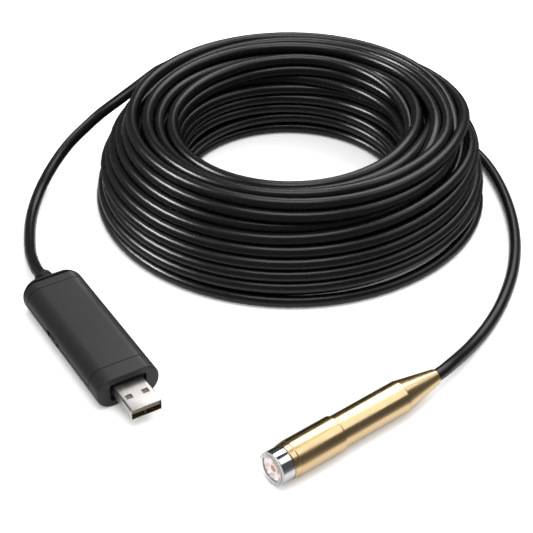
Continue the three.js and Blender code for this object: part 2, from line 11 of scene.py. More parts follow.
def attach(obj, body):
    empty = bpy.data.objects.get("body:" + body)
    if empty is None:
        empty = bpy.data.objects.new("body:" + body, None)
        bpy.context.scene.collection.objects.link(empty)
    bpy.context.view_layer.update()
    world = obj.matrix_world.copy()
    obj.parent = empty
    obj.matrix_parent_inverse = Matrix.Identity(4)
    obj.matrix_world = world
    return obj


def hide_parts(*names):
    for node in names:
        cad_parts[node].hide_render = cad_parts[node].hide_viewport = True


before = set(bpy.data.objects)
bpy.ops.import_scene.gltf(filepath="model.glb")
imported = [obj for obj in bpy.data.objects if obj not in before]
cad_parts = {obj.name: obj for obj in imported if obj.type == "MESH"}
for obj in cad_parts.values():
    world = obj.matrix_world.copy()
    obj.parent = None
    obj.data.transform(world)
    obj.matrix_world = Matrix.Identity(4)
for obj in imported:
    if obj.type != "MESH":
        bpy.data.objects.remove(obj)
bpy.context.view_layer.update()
scene = bpy.context.scene
mm = 0.001


# ------------------------------------------------------------------ camera
# One camera that looks down on the layout from in front of the head and to its left.

camera_data = bpy.data.cameras.new("camera")
camera_data.sensor_width = 36
camera_data.lens = 96.7
camera_data.clip_start = 0.02
camera_data.clip_end = 20
camera = bpy.data.objects.new("camera", camera_data)
camera.location = (0.24785, 0.26384, 0.34522)
camera_aim = Vector((-0.4956, -0.6263, -0.6018))
camera.rotation_euler = camera_aim.to_track_quat("-Z", "Y").to_euler()
scene.collection.objects.link(camera)
scene.camera = camera


# ------------------------------------------------------------------ cable
# One 4.8 mm PVC-jacketed cable from the head to the plug housing. Most of it is wound by hand
# into a loose coil that leans in towards its top, and both ends lead off from it.

CABLE_DIAMETER = 4.8 * mm
STATIONS = 72  # points in one turn
COIL_CENTRE = Vector((-78.7, -132.1, 0)) * mm
COIL_START = radians(160)
COIL_END = radians(285)

# The coil's rows from the floor up: height, inner radius, outer radius, turns.
COIL_ROWS = (
    (2.4, 47.6, 80.7, 7),
    (6.9, 47.6, 80.0, 7),
    (11.4, 47.7, 79.0, 6),
    (15.9, 47.7, 77.6, 6),
    (20.4, 47.8, 75.8, 6),
    (24.9, 48.0, 73.6, 6),
    (29.4, 48.2, 71.4, 5),
)
# The turns above those, in the order in which the cable reaches them: radius and height.
COIL_TOP = (
    (50.0, 33.9), (56.2, 33.8), (62.3, 33.9), (53.6, 38.2), (59.8, 38.4), (66.2, 38.5), (70.8, 34.6),
)
# Where the coil bulges or is drawn in: angle and its spread in degrees, height and its spread,
# and how far.
COIL_BULGES = (
    (152, 34, 34, 12, 5.0),
    (95, 30, 3, 5, -0.5),
    (320, 30, 20, 7, 0.9),
)

HEAD_LEAD = (
    (-37.6, 0, 6.7),
    (-42.3, -0.6, 6.5),
    (-47.0, -1.8, 5.9),
    (-51.4, -3.1, 5.1),
    (-56.2, -4.6, 4.2),
    (-61.4, -6.3, 3.4),
    (-67.2, -8.3, 2.8),
    (-75.0, -11.1, 2.45),
    (-85.4, -15.6, 2.4),
    (-95.4, -21.0, 2.4),
    (-107.0, -28.5, 2.4),
    (-117.6, -37.0, 2.4),
    (-127.5, -46.6, 2.4),
    (-136.5, -57.2, 2.4),
    (-145.2, -69.6, 2.4),
    (-152.1, -81.6, 2.4),
    (-157.1, -92.6, 2.4),
)
HOUSING_LEAD = (
    (41.34, -137.4, 6.3),
    (40.6, -143.1, 6.1),
    (38.8, -148.9, 5.3),
    (36.2, -155.6, 4.4),
    (32.8, -162.2, 3.7),
    (24.8, -175.4, 2.8),
    (16.5, -186.0, 3.1),
    (6.9, -194.6, 5.6),
    (-2.8, -199.7, 10.0),
    (-11.9, -201.6, 15.5),
    (-20.0, -201.0, 20.6),
    (-27.6, -199.8, 25.4),
    (-36.2, -198.6, 29.3),
    (-46.6, -199.3, 32.2),
)


def ease(t):
    t = np.clip(t, 0, 1)
    return t * t * (3 - 2 * t)


def coil_slots():
    """The turns' resting places in the coil's section, in the cable's order, in millimetres."""
    slots = []
    for row, (height, inner, outer, turns) in enumerate(COIL_ROWS):
        radii = np.linspace(outer, inner, turns)
        if row % 2:
            radii = radii[::-1]
        slots += [(radius, height) for radius in radii]
    return np.array(slots + list(COIL_TOP))


def bulge(angle, height):
    """How far the coil stands out there beyond its round outline, in millimetres."""
    out = 0
    for middle, spread, level, thickness, far in COIL_BULGES:
        aside = (np.degrees(angle) - middle + 180) % 360 - 180
        out = out + far * np.exp(-((aside / spread) ** 2) - ((height - level) / thickness) ** 2)
    return out


def coil_line():
    """The wound part's centreline: its angle at each point, and its radius and height there."""
    slots = coil_slots()
    count = len(slots)
    turns = count - 1 + (COIL_END - COIL_START) / tau
    points = round(turns * STATIONS) + 1
    turn = np.arange(points) / STATIONS
    rng = np.random.default_rng(11)

    # Each turn keeps its place and then moves over to the next one in a third of a turn.
    move_time = 0.34
    moves = np.arange(count, dtype=float) + rng.uniform(-0.3, 0.3, count)
    moves[-1] = turns - 1.02
    moves[-2] = turns - 2.0
    moves[-3] = turns - 3.0
    rest = np.repeat(slots[:1], points, axis=0)
    for k in range(1, count):
        share = ease((turn - moves[k]) / move_time + 0.5)
        rest += (slots[k] - slots[k - 1]) * share[:, None]

    # A hand-wound cable wanders a little, over half a turn or so.
    wander_span = 0.45 * STATIONS
    wander_size = 1.7
    knots = rng.normal(0, 1, (int(points / wander_span) + 2, 2))
    place = np.arange(points) / wander_span
    knot = place.astype(int)
    share = ease(place - knot)[:, None]
    rest = rest + wander_size * (knots[knot] * (1 - share) + knots[knot + 1] * share)

    # The outer turns follow the coil's bulges.
    angle = COIL_START + turn * tau
    rest[:, 0] += bulge(angle, rest[:, 1]) * np.clip((rest[:, 0] - 52) / 16, 0, 1)

    # Both ends run out to meet their leads.
    head_end = ease(1 - turn / 0.09)[:, None]
    rest = rest * (1 - head_end) + np.array([86.6, 2.4]) * head_end
    housing_end = ease(1 - (turns - turn) / 0.06)[:, None]
    rest = rest * (1 - housing_end) + np.array([72.8, 33.9]) * housing_end

    rows = -(-points // STATIONS)
    blank = np.full((rows * STATIONS - points, 2), np.nan)
    itself = np.arange(rows)
    line = rest.copy()
    gap = CABLE_DIAMETER / mm + 0.06
    for step in range(420):
        # Turns that lie into each other at a station are pushed apart.
        at = np.concatenate([line, blank]).reshape(rows, STATIONS, 2)
        between = at[:, None] - at[None]
        apart = np.sqrt((between**2).sum(-1))
        apart[np.isnan(apart)] = 1e9
        apart[itself, itself] = 1e9
        push = 0.35 * np.clip(gap - apart, 0, None) / np.maximum(apart, 1e-6)
        line += (np.nan_to_num(between) * push[..., None]).sum(1).reshape(-1, 2)[:points]
        # The cable is too stiff to bend sharply.
        for _ in range(2 if step < 330 else 1):
            line[1:-1] += 0.25 * (line[:-2] + line[2:] - 2 * line[1:-1])
        line += (0.02 if step < 330 else 0.006) * (rest - line)
        line[0], line[-1] = rest[0], rest[-1]
        # It lies on the floor, and its ties keep it inside the coil's outline.
        line[:, 1] = np.maximum(line[:, 1], CABLE_DIAMETER / 2 / mm)
        outline = np.interp(
            line[:, 1],
            [2.4, 10, 17, 25, 32, 38.5, 41],
            [80.7, 79.2, 77.3, 73.9, 70.9, 66.4, 64.6],
        ) + bulge(angle, line[:, 1])
        loose = (head_end[:, 0] == 0) & (housing_end[:, 0] == 0)
        line[loose, 0] -= 0.5 * np.clip(line[:, 0] - outline, 0, None)[loose]
        wall = 47.6 + 0.09 * np.clip(line[:, 1] - 22, 0, None) ** 1.25
        line[:, 0] += 0.5 * np.clip(wall - line[:, 0], 0, None)
        line[:, 1] -= 0.5 * np.clip(line[:, 1] - 38.6, 0, None)
    return angle, line


def smooth_route(points, spacing):
    """A Catmull-Rom curve through the points, with a point about every spacing."""
    points = [Vector(p) for p in points]
    route = []
    for i in range(1, len(points) - 2):
        a, b, c, d = points[i - 1 : i + 3]
        steps = max(1, round((c - b).length / spacing))
        for k in range(steps):
            t = k / steps
            route.append(
                0.5 * (2 * b + (c - a) * t + (2 * a - 5 * b + 4 * c - d) * t**2
                       + (3 * b - a - 3 * c + d) * t**3)
            )
    return route


angles, section = coil_line()
wound = [
    COIL_CENTRE + Vector((radius * cos(angle), radius * sin(angle), height)) * mm
    for angle, (radius, height) in zip(angles, section)
]
head_lead = [Vector(p) * mm for p in HEAD_LEAD]
housing_lead = [Vector(p) * mm for p in reversed(HOUSING_LEAD)]
before_head = head_lead[0] * 2 - head_lead[1]
after_housing = housing_lead[-1] * 2 - housing_lead[-2]
cable_route = smooth_route([before_head, *head_lead, *wound[:3]], 5 * mm)
cable_route += wound[1:-2]
cable_route += smooth_route([*wound[-3:], *housing_lead, after_housing], 5 * mm)
cable_route.append(housing_lead[-1])

cable_curve = bpy.data.curves.new("cable", "CURVE")
cable_curve.dimensions = "3D"
cable_curve.bevel_depth = CABLE_DIAMETER / 2
cable_curve.bevel_resolution = 4
cable_curve.use_fill_caps = True
spline = cable_curve.splines.new("POLY")
spline.points.add(len(cable_route) - 1)
for point, place in zip(spline.points, cable_route):
    point.co = (*place, 1)
spline.use_smooth = True
cable = bpy.data.objects.new("cable", cable_curve)
scene.collection.objects.link(cable)



def make_grain_group():
    """Grain that any moulded or machined skin has: patchy gloss, and a fine height for a bump."""
    group = bpy.data.node_groups.new("grain", "ShaderNodeTree")
    for name, kind, value in (
        ("Scale", "NodeSocketFloat", 500.0),
        ("Stretch", "NodeSocketVector", (1, 1, 1)),
        ("Patch Scale", "NodeSocketFloat", 60.0),
        ("Gloss Low", "NodeSocketFloat", 0.3),
        ("Gloss High", "NodeSocketFloat", 0.4),
    ):
        socket = group.interface.new_socket(name, in_out="INPUT", socket_type=kind)
        socket.default_value = value
    for name in ("Roughness", "Height", "Patches"):
        group.interface.new_socket(name, in_out="OUTPUT", socket_type="NodeSocketFloat")
    nodes, links = group.nodes, group.links
    given = nodes.new("NodeGroupInput")
    out = nodes.new("NodeGroupOutput")
    place = nodes.new("ShaderNodeTexCoord")
    stretch = nodes.new("ShaderNodeMapping")
    links.new(place.outputs["Object"], stretch.inputs["Vector"])
    links.new(given.outputs["Stretch"], stretch.inputs["Scale"])
    fine = nodes.new("ShaderNodeTexNoise")
    fine.inputs["Detail"].default_value = 3
    links.new(stretch.outputs["Vector"], fine.inputs["Vector"])
    links.new(given.outputs["Scale"], fine.inputs["Scale"])
    patches = nodes.new("ShaderNodeTexNoise")
    patches.inputs["Detail"].default_value = 2
    links.new(place.outputs["Object"], patches.inputs["Vector"])
    links.new(given.outputs["Patch Scale"], patches.inputs["Scale"])
    gloss = nodes.new("ShaderNodeMapRange")
    gloss.inputs["From Min"].default_value = 0.3
    gloss.inputs["From Max"].default_value = 0.7
    links.new(patches.outputs["Fac"], gloss.inputs["Value"])
    links.new(given.outputs["Gloss Low"], gloss.inputs["To Min"])
    links.new(given.outputs["Gloss High"], gloss.inputs["To Max"])
    links.new(gloss.outputs["Result"], out.inputs["Roughness"])
    links.new(fine.outputs["Fac"], out.inputs["Height"])
    links.new(patches.outputs["Fac"], out.inputs["Patches"])
    return group


grain_group = make_grain_group()


def skin(name, colour, gloss, metallic=0.0, shade=None, grain=500, stretch=(1, 1, 1),
         patch=60, bump=0.00001, specular=0.5):
    """A material whose gloss runs between two values in patches, over a fine grain."""
    material = bpy.data.materials.new(name)
    material.use_nodes = True
    nodes, links = material.node_tree.nodes, material.node_tree.links
    shader = nodes["Principled BSDF"]
    shader.inputs["Metallic"].default_value = metallic
    shader.inputs["Specular IOR Level"].default_value = specular
    grained = nodes.new("ShaderNodeGroup")
    grained.node_tree = grain_group
    grained.inputs["Scale"].default_value = grain
    grained.inputs["Stretch"].default_value = stretch
    grained.inputs["Patch Scale"].default_value = patch
    grained.inputs["Gloss Low"].default_value = gloss[0]
    grained.inputs["Gloss High"].default_value = gloss[1]
    links.new(grained.outputs["Roughness"], shader.inputs["Roughness"])
    tint = nodes.new("ShaderNodeMix")
    tint.data_type = "RGBA"
    tint.inputs["A"].default_value = (*colour, 1)
    tint.inputs["B"].default_value = (*(shade or [c * 0.8 for c in colour]), 1)
    links.new(grained.outputs["Patches"], tint.inputs["Factor"])
    links.new(tint.outputs["Result"], shader.inputs["Base Color"])
    dents = nodes.new("ShaderNodeBump")
    dents.inputs["Distance"].default_value = bump
    dents.inputs["Strength"].default_value = 1
    links.new(grained.outputs["Height"], dents.inputs["Height"])
    links.new(dents.outputs["Normal"], shader.inputs["Normal"])
    return material


cable_jacket = skin(
    "cable_jacket", (0.0035, 0.0035, 0.004), (0.25, 0.31), grain=900, patch=120, bump=0.0000012,
    specular=0.4,
)
cable_curve.materials.append(cable_jacket)

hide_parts("cable_lead_head", "cable_coil", "cable_lead_housing")
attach(cable, "device")

# ------------------------------------------------------------------ camera module
# A black tube carries the lens holder, the sensor and its board, and a flat flex runs back to
# the cable. They come ready made and are pushed into the head before its front is screwed on.


def dress(names, material):
    """Gives CAD nodes their finish."""
    for name in names.split():
        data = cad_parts[name].data
        data.materials.clear()
        data.materials.append(material)


black_anodised = skin("black_anodised", (0.012, 0.012, 0.013), (0.35, 0.5), grain=900)
solder_mask = skin("solder_mask", (0.01, 0.085, 0.03), (0.3, 0.45), grain=700)
chip_resin = skin("chip_resin", (0.012, 0.012, 0.012), (0.5, 0.65), grain=1500)
flex_film = skin("flex_film", (0.37, 0.14, 0.022), (0.25, 0.4), grain=300)
lens_alloy = skin(
    "lens_alloy", (0.86, 0.72, 0.64), (0.15, 0.3), metallic=1, shade=(0.8, 0.42, 0.24), patch=500,
)
dress("lens_barrel", lens_alloy)
dress("module_tube lens_holder", black_anodised)
dress("sensor_board led_board circuit_board", solder_mask)
dress("capture_chip memory_chip dimmer_pot", chip_resin)
dress("head_ribbon", flex_film)

lens_coating = skin("lens_coating", (0.34, 0.24, 0.22), (0.03, 0.06), metallic=0.5, patch=900, specular=0.8)
dress("lens_element image_sensor", lens_coating)


# ------------------------------------------------------------------ reflector and LEDs
# A vacuum-silvered moulding with a dished petal round each of its four LEDs. The lens looks out
# through the hole in its middle, and it drops into the front sleeve ahead of the LED board.

HEAD_PLACE = Matrix.Translation((0, 0, 6.7 * mm)) @ Matrix.Scale(mm, 4)


def turned(outline, steps=96):
    """Turns a section about the X axis. Its corners are (x, radius, rounding), in millimetres."""
    bm = bmesh.new()
    corners = [bm.verts.new((x, 0, radius)) for x, radius, _ in outline]
    face = bm.faces.new(corners)
    for corner, (_, _, rounding) in zip(corners, outline):
        if rounding:
            bmesh.ops.bevel(
                bm, geom=[corner], offset=rounding, segments=4, profile=0.5, affect="VERTICES",
                material=-1,
            )
    bmesh.ops.delete(bm, geom=bm.faces[:], context="FACES_ONLY")
    on_axis = [e for e in bm.edges if max(v.co.z for v in e.verts) < 1e-5]
    bmesh.ops.delete(bm, geom=on_axis, context="EDGES")
    bmesh.ops.spin(
        bm, geom=bm.verts[:] + bm.edges[:], cent=(0, 0, 0), axis=(1, 0, 0), angle=tau,
        steps=steps, use_merge=True,
    )
    bmesh.ops.remove_doubles(bm, verts=bm.verts[:], dist=1e-4)
    bmesh.ops.recalc_face_normals(bm, faces=bm.faces[:])
    return bm


def as_object(bm, name):
    mesh = bpy.data.meshes.new(name)
    bm.to_mesh(mesh)
    bm.free()
    made = bpy.data.objects.new(name, mesh)
    scene.collection.objects.link(made)
    return made


def machined(bm, tools, operation="DIFFERENCE"):
    """The shape with the tools' shapes taken out of it, or joined to it."""
    blank = as_object(bm, "blank")
    used = []
    for tool in tools:
        cutter = as_object(tool, "cutter")
        used.append(cutter)
        boolean = blank.modifiers.new("cut", "BOOLEAN")
        boolean.operation = operation
        boolean.solver = "EXACT"
        boolean.object = cutter
    shape = bmesh.new()
    shape.from_object(blank, bpy.context.evaluated_depsgraph_get())
    for spent in [blank, *used]:
        data = spent.data
        bpy.data.objects.remove(spent)
        bpy.data.meshes.remove(data)
    bmesh.ops.remove_doubles(shape, verts=shape.verts[:], dist=1e-4)
    bmesh.ops.dissolve_degenerate(shape, edges=shape.edges[:], dist=1e-4)
    return shape


def piece(name, bm, place, material, body, stands_for, width=0.0):
    """Puts a shape in its place as a named piece, smooth except at its creases."""
    bmesh.ops.recalc_face_normals(bm, faces=bm.faces[:])
    bmesh.ops.transform(bm, matrix=place, verts=bm.verts[:])
    for face in bm.faces:
        face.smooth = True
    for edge in bm.edges:
        edge.smooth = len(edge.link_faces) == 2 and edge.calc_face_angle() < radians(32)
    made = as_object(bm, name)
    made.data.materials.append(material)
    if width:
        # Rounds the sharp edges as a mould does.
        soft = made.modifiers.new("soften", "BEVEL")
        soft.width = width * mm
        soft.segments = 2
        soft.limit_method = "ANGLE"
        soft.angle_limit = radians(50)
        soft.harden_normals = True
    else:
        made.modifiers.new("flat_faces", "WEIGHTED_NORMAL").keep_sharp = True
    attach(made, body)
    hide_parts(*stands_for.split())
    return made


PETAL_CIRCLE = 2.95
PETAL_RADIUS = 2.15

reflector = turned([
    (32.4, 2.1, 0), (32.4, 5.15, 0), (35.0, 5.15, 0.1), (35.0, 2.1, 0.05),
])
dishes = []
for led in range(4):
    bearing = tau * (led + 0.5) / 4
    dish = turned([
        (31.9, 0, 0), (31.9, 0.95, 0), (32.6, 1.05, 0), (33.7, 1.6, 0), (34.6, PETAL_RADIUS, 0),
        (35.6, PETAL_RADIUS + 0.3, 0), (35.6, 0, 0),
    ], steps=40)
    away = Vector((0, PETAL_CIRCLE * cos(bearing), PETAL_CIRCLE * sin(bearing)))
    deep = [v for v in dish.verts if v.co.x < 33]
    out = Vector((0, cos(bearing), sin(bearing))) * (3.6 - PETAL_CIRCLE)
    bmesh.ops.translate(dish, vec=out, verts=deep)
    bmesh.ops.translate(dish, vec=away, verts=dish.verts[:])
    dishes.append(dish)
reflector = machined(reflector, dishes)
silvering = skin(
    "silvering", (0.93, 0.86, 0.85), (0.08, 0.2), metallic=0.85, shade=(0.88, 0.78, 0.76),
    patch=300, bump=0.000004,
)
piece("reflector", reflector, HEAD_PLACE, silvering, "device", "reflector_cup")

led_wax = skin("led_wax", (0.9, 0.62, 0.25), (0.35, 0.5), shade=(0.85, 0.45, 0.12), patch=900)
for led in range(4):
    bearing = tau * (led + 0.5) / 4
    lamp = turned([(32.4, 0, 0), (32.4, 0.75, 0.05), (33.1, 0.75, 0.3), (33.1, 0, 0)], steps=24)
    spot = Matrix.Translation((0, 3.6 * cos(bearing), 3.6 * sin(bearing)))
    piece(
        f"led_lamp_{led + 1}", lamp, HEAD_PLACE @ spot, led_wax, "device",
        f"led_{led + 1}",
    )


# ------------------------------------------------------------------ window and chrome ring
# A turned acrylic window is glued into the ring that holds it, with its polished rim standing
# proud of the ring's mouth. The ring is plated brass, and its neck is pressed into the collar.

window = turned([
    (35.2, 0, 0), (35.2, 5.2, 0.1), (36.5, 5.2, 0), (36.5, 6.15, 0.12), (37.5, 6.15, 0.62),
    (37.5, 5.15, 0.2), (37.22, 4.85, 0.12), (37.22, 0, 0),
], steps=128)
acrylic = skin(
    "acrylic", (0.985, 0.985, 0.99), (0.015, 0.04), shade=(0.97, 0.975, 0.98), patch=200,
    bump=0.0000015,
)
acrylic.node_tree.nodes["Principled BSDF"].inputs["Transmission Weight"].default_value = 1
acrylic.node_tree.nodes["Principled BSDF"].inputs["IOR"].default_value = 1.47

# The sawn rim is left satin, and only the face is polished.
tree = acrylic.node_tree
place = tree.nodes.new("ShaderNodeTexCoord")
about_axis = tree.nodes.new("ShaderNodeMapping")
about_axis.inputs["Location"].default_value = (0, 0, -6.7 * mm)
about_axis.inputs["Scale"].default_value = (0, 1, 1)
from_axis = tree.nodes.new("ShaderNodeVectorMath")
from_axis.operation = "LENGTH"
satin = tree.nodes.new("ShaderNodeMapRange")
satin.inputs["From Min"].default_value = 5.0 * mm
satin.inputs["From Max"].default_value = 5.5 * mm
satin.inputs["To Min"].default_value = 0.02
satin.inputs["To Max"].default_value = 0.5
tree.links.new(place.outputs["Object"], about_axis.inputs["Vector"])
tree.links.new(about_axis.outputs["Vector"], from_axis.inputs[0])
tree.links.new(from_axis.outputs["Value"], satin.inputs["Value"])
tree.links.new(satin.outputs["Result"], tree.nodes["Principled BSDF"].inputs["Roughness"])
piece("window", window, HEAD_PLACE, acrylic, "front_sleeve", "lens_window")

chrome_ring = turned([
    (28.6, 5.3, 0.1), (28.6, 5.8, 0.1), (31.6, 5.8, 0), (31.6, 6.15, 0.12), (36.4, 6.15, 0.22),
    (36.4, 5.3, 0.15),
], steps=128)
chrome_plate = skin(
    "chrome_plate", (0.8, 0.8, 0.82), (0.03, 0.07), metallic=1, stretch=(1, 0.2, 0.2),
    bump=0.000001,
)
piece("chrome_ring", chrome_ring, HEAD_PLACE, chrome_plate, "front_sleeve", "bezel_ring")


# ------------------------------------------------------------------ brass collar, barrel, cone
# Three pieces turned from brass bar and lacquered. The collar screws back along the barrel's
# spigot to squeeze the washer, and the tail cone is pressed into the barrel over the cable bush.


def turned_brass():
    """Lacquered brass with the fine rings that the lathe tool leaves round it."""
    brass = skin(
        "turned_brass", (0.80, 0.59, 0.325), (0.17, 0.26), metallic=1, shade=(0.76, 0.55, 0.28),
        grain=600, stretch=(5, 0.25, 0.25), patch=90, bump=0.0000005,
    )
    lacquer = brass.node_tree.nodes["Principled BSDF"]
    lacquer.inputs["Coat Weight"].default_value = 0.5
    lacquer.inputs["Coat Roughness"].default_value = 0.1
    return brass


brass = turned_brass()
collar = turned([
    (9.6, 5.9, 0.1), (9.6, 6.7, 0.16), (29.3, 6.7, 0.2), (29.3, 6.45, 0.1), (31.5, 6.45, 0.2),
    (31.5, 5.9, 0.1),
], steps=128)
piece("collar", collar, HEAD_PLACE, brass, "front_sleeve", "front_collar")

barrel = turned([
    (-20.3, 4.9, 0.1), (-20.3, 6.1, 0.14), (9.2, 6.1, 0.14), (9.2, 5.75, 0), (10.7, 5.75, 0.05),
    (10.7, 5.25, 0.1), (11.6, 5.25, 0.1), (11.6, 5.75, 0.05), (19.5, 5.75, 0.15),
    (19.5, 4.9, 0.1),
], steps=128)
piece("barrel", barrel, HEAD_PLACE, brass, "device", "head_barrel")

cone = turned([
    (-37.5, 2.6, 0.1), (-37.5, 3.0, 0.15), (-20.4, 6.1, 0.12), (-20.4, 4.8, 0), (-15.4, 4.8, 0.15),
    (-15.4, 3.5, 0.1), (-29.5, 3.5, 0), (-29.5, 2.6, 0),
], steps=128)
piece("cone", cone, HEAD_PLACE, brass, "device", "tail_cone")

seal_rubber = skin("seal_rubber", (0.014, 0.014, 0.014), (0.6, 0.75), grain=900)
crimp_metal = skin("crimp_metal", (0.6, 0.6, 0.61), (0.3, 0.45), metallic=1, grain=400)
dress("sealing_washer barrel_seal cable_bush", seal_rubber)
dress("crimp_sleeve crystal_can capacitor_1 capacitor_2", crimp_metal)
dress("cable_end_head cable_end_housing", cable_jacket)


# ------------------------------------------------------------------ wires
# The cable's four wires fan out on the board. Each is stranded copper in coloured PVC.

for colour, tone in (
    ("red", (0.32, 0.011, 0.011)),
    ("white", (0.7, 0.7, 0.66)),
    ("green", (0.013, 0.19, 0.034)),
    ("black", (0.008, 0.008, 0.008)),
):
    dress(f"wire_{colour}", skin(f"wire_{colour}_pvc", tone, (0.4, 0.55), patch=400))


# ------------------------------------------------------------------ housing shells
# Two shells moulded in black ABS with a spark-eroded grain, glued along their middle. The seam
# between them is left as a fine groove, and a slot in it lets out the brightness wheel's rim.

HOUSING_PLACE = (
    Matrix.Translation((50.9 * mm, -63.7 * mm, 0))
    @ Matrix.Rotation(radians(82.6), 4, "Z")
    @ Matrix.Scale(mm, 4)
)
HOUSING_MIDDLE = 6.3
SHELL_BACK, SHELL_FRONT = -60.7, -7.3


def block(x, y, z):
    """A box between those limits along the housing, across it and upwards."""
    bm = bmesh.new()
    bmesh.ops.create_cube(bm, size=1)
    low = Vector((x[0], y[0], z[0]))
    high = Vector((x[1], y[1], z[1]))
    bmesh.ops.scale(bm, vec=high - low, verts=bm.verts[:])
    bmesh.ops.translate(bm, vec=(low + high) / 2, verts=bm.verts[:])
    return bm


def bar(back, front, width, height, corner, middle=HOUSING_MIDDLE, segments=12):
    """A bar along the housing with its four long edges rounded."""
    half = width / 2
    bm = block((back, front), (-half, half), (middle - height / 2, middle + height / 2))
    long_edges = [e for e in bm.edges if abs(e.verts[0].co.x - e.verts[1].co.x) > 0.5]
    bmesh.ops.bevel(
        bm, geom=long_edges, offset=corner, segments=segments, profile=0.5, affect="EDGES",
        material=-1,
    )
    return bm


def wheel_slot():
    return block((-42.95, -33.05), (-24.5, -10.45), (5.0, 7.6))


moulded_black = skin(
    "moulded_black", (0.017, 0.017, 0.0175), (0.44, 0.52), grain=1300, patch=40, bump=0.000022,
)
inner = (SHELL_BACK - 1, SHELL_FRONT + 1, 21.5, 9.6, 4.5)
housing_shells = []
for half, cut_from, cut_to, node in (
    ("upper_shell", -1, 6.55, "housing_shell_upper"),
    ("lower_shell", 6.05, 14, "housing_shell_lower"),
):
    shell = machined(bar(SHELL_BACK, SHELL_FRONT, 24.5, 12.6, 6.0), [
        bar(*inner),
        block((-62, -6), (-20, 20), (cut_from, cut_to)),
        wheel_slot(),
    ])
    if half == "lower_shell":
        for side in (-1, 1):
            rail = block((-52, -13), sorted((side * 8.4, side * 6.9)), (0.75, 2.9))
            rail_mesh = bpy.data.meshes.new("rail")
            rail.to_mesh(rail_mesh)
            rail.free()
            shell.from_mesh(rail_mesh)
            bpy.data.meshes.remove(rail_mesh)
    housing_shells.append(
        piece(half, shell, HOUSING_PLACE, moulded_black, "device", node, 0.2)
    )


# ------------------------------------------------------------------ end caps
# Both caps are moulded in the same black ABS and plug into the shells with a lip. The front one
# has a recess round the plug, and the rear one is rounded off towards the cable.


def rounded_end(bm, face_at, depth, side_in, top_in, steps=9):
    """Carries the end face on in steps that draw in like a pebble's end."""
    end = next(f for f in bm.faces if all(abs(v.co.x - face_at) < 1e-4 for v in f.verts))
    sign = 1 if depth > 0 else -1
    half_width = max(abs(v.co.y) for v in end.verts)
    half_height = max(abs(v.co.z - HOUSING_MIDDLE) for v in end.verts)
    width, height, at = half_width, half_height, 0.0
    for step in range(1, steps + 1):
        angle = pi / 2 * step / steps
        reach = abs(depth) * sin(angle)
        next_width = half_width - side_in * (1 - cos(angle))
        next_height = half_height - top_in * (1 - cos(angle))
        made = bmesh.ops.extrude_face_region(bm, geom=[end])
        verts = [v for v in made["geom"] if isinstance(v, bmesh.types.BMVert)]
        end = next(f for f in made["geom"] if isinstance(f, bmesh.types.BMFace))
        bmesh.ops.translate(bm, vec=(sign * (reach - at), 0, 0), verts=verts)
        centre = Matrix.Translation((0, 0, -HOUSING_MIDDLE))
        bmesh.ops.scale(
            bm, vec=(1, next_width / width, next_height / height), space=centre, verts=verts,
        )
        width, height, at = next_width, next_height, reach
    return bm


def lip(back, front):
    """The ring on a cap that plugs into the shells."""
    return machined(bar(back, front, 20.9, 9.0, 4.2), [bar(back - 1, front + 1, 18.9, 7.0, 3.2)])


front_cap = rounded_end(bar(-7.0, -0.6, 24.5, 12.6, 6.0), -0.6, 0.6, 0.8, 0.5)
front_cap = machined(front_cap, [
    bar(-8, -3.6, 18.9, 7.0, 3.2),
    bar(-2.2, 1, 14.4, 7.4, 1.0),
    bar(-5, 1, 12.6, 5.1, 0.9),
])
front_cap = machined(front_cap, [lip(-10.3, -6.9)], "UNION")
front_cap = piece(
    "front_cap", front_cap, HOUSING_PLACE, moulded_black, "device",
    "front_end_cap", width=0.14,
)

rear_cap = rounded_end(bar(-64.4, -61.0, 24.5, 12.6, 6.0), -64.4, -3.6, 3.9, 0.9)
bore = turned([(-70, 0, 0), (-70, 3.3, 0), (-65, 3.3, 0), (-65, 0, 0)], steps=64)
bmesh.ops.translate(bore, vec=(0, 0, HOUSING_MIDDLE), verts=bore.verts[:])
hollow = rounded_end(bar(-64.4, -60.5, 21.5, 9.6, 4.5), -64.4, -2.0, 3.3, 0.5)
rear_cap = machined(rear_cap, [hollow, bore])
rear_cap = machined(rear_cap, [lip(-62.4, -57.7)], "UNION")
rear_cap = piece(
    "rear_cap", rear_cap, HOUSING_PLACE, moulded_black, "device",
    "rear_end_cap", width=0.14,
)


housing_shells += [front_cap, rear_cap]


# ------------------------------------------------------------------ strain relief
# A soft PVC boot moulded onto the cable. Its flange sits inside the rear cap, and outside it
# swells into a lip and runs down to the cable.

boot = turned([
    (-75.4, 2.5, 0), (-75.4, 2.9, 0.2), (-74.9, 2.9, 0.1), (-74.7, 3.5, 0.3),
    (-72.5, 3.7, 0.3), (-72.2, 3.1, 0.1), (-71.6, 3.1, 0.1), (-71.3, 3.6, 0.2),
    (-68.8, 3.6, 0.2), (-68.8, 3.0, 0.05), (-66.1, 3.0, 0), (-66.1, 4.6, 0.2),
    (-64.6, 4.6, 0.2), (-64.6, 2.5, 0),
], steps=72)
bmesh.ops.translate(boot, vec=(0, 0, HOUSING_MIDDLE), verts=boot.verts[:])
boot_pvc = skin("boot_pvc", (0.011, 0.011, 0.0115), (0.38, 0.5), grain=900, patch=150)
piece("boot", boot, HOUSING_PLACE, boot_pvc, "device", "strain_relief")


# ------------------------------------------------------------------ brightness wheel
# A ribbed wheel lies flat on its potentiometer, and its rim shows in the side slot, where a
# thumb can roll it.

WHEEL_CENTRE = Vector((-38, -6.25, HOUSING_MIDDLE))
WHEEL_RIBS = 24

